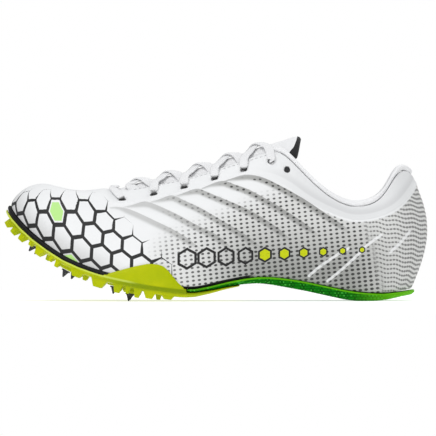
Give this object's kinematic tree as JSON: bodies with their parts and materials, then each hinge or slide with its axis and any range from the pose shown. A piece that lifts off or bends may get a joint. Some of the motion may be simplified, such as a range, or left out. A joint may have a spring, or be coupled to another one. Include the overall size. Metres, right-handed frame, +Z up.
{
  "type": "track spike shoe",
  "caption": "Low sprint shoe with a laced mesh upper, padded collar and tongue, thin heel wedge and a toothed, upswept forefoot plate with screwed-in pins.",
  "frame": {"origin": "middle of the shoe's bounding box, on the floor it stands on", "axes": "+X towards the heel, -X towards the toe, -Y towards the outer side of the left foot, +Z up"},
  "size_m": [0.2818, 0.0968, 0.1097],
  "materials": {
    "upper_mesh": "white engineered mesh with grey ribs, smooth film at the toe",
    "collar_knit": "white padded knit",
    "tongue_knit": "white thin padded tongue, black edge lining",
    "insole_foam": "dark fabric-topped foam",
    "midsole_foam": "green foam with a fine scaled texture",
    "plate_nylon": "lime moulded nylon, slightly glossy",
    "pin_steel": "blackened steel pins",
    "lace_weave": "flat white woven lace"
  },
  "bodies": {
    "root": {"upper": "upper_mesh", "collar_roll": "collar_knit", "insole": "insole_foam", "midsole": "midsole_foam", "spike_plate": "plate_nylon", "tongue": "tongue_knit", "lace_bar": "lace_weave", "lace_cross_1": "lace_weave", "lace_cross_2": "lace_weave", "lace_cross_3": "lace_weave", "lace_cross_4": "lace_weave", "lace_cross_5": "lace_weave", "spike_1": "pin_steel", "spike_2": "pin_steel", "spike_3": "pin_steel", "spike_4": "pin_steel", "spike_5": "pin_steel", "spike_6": "pin_steel", "spike_7": "pin_steel"}
  },
  "joints": []
}
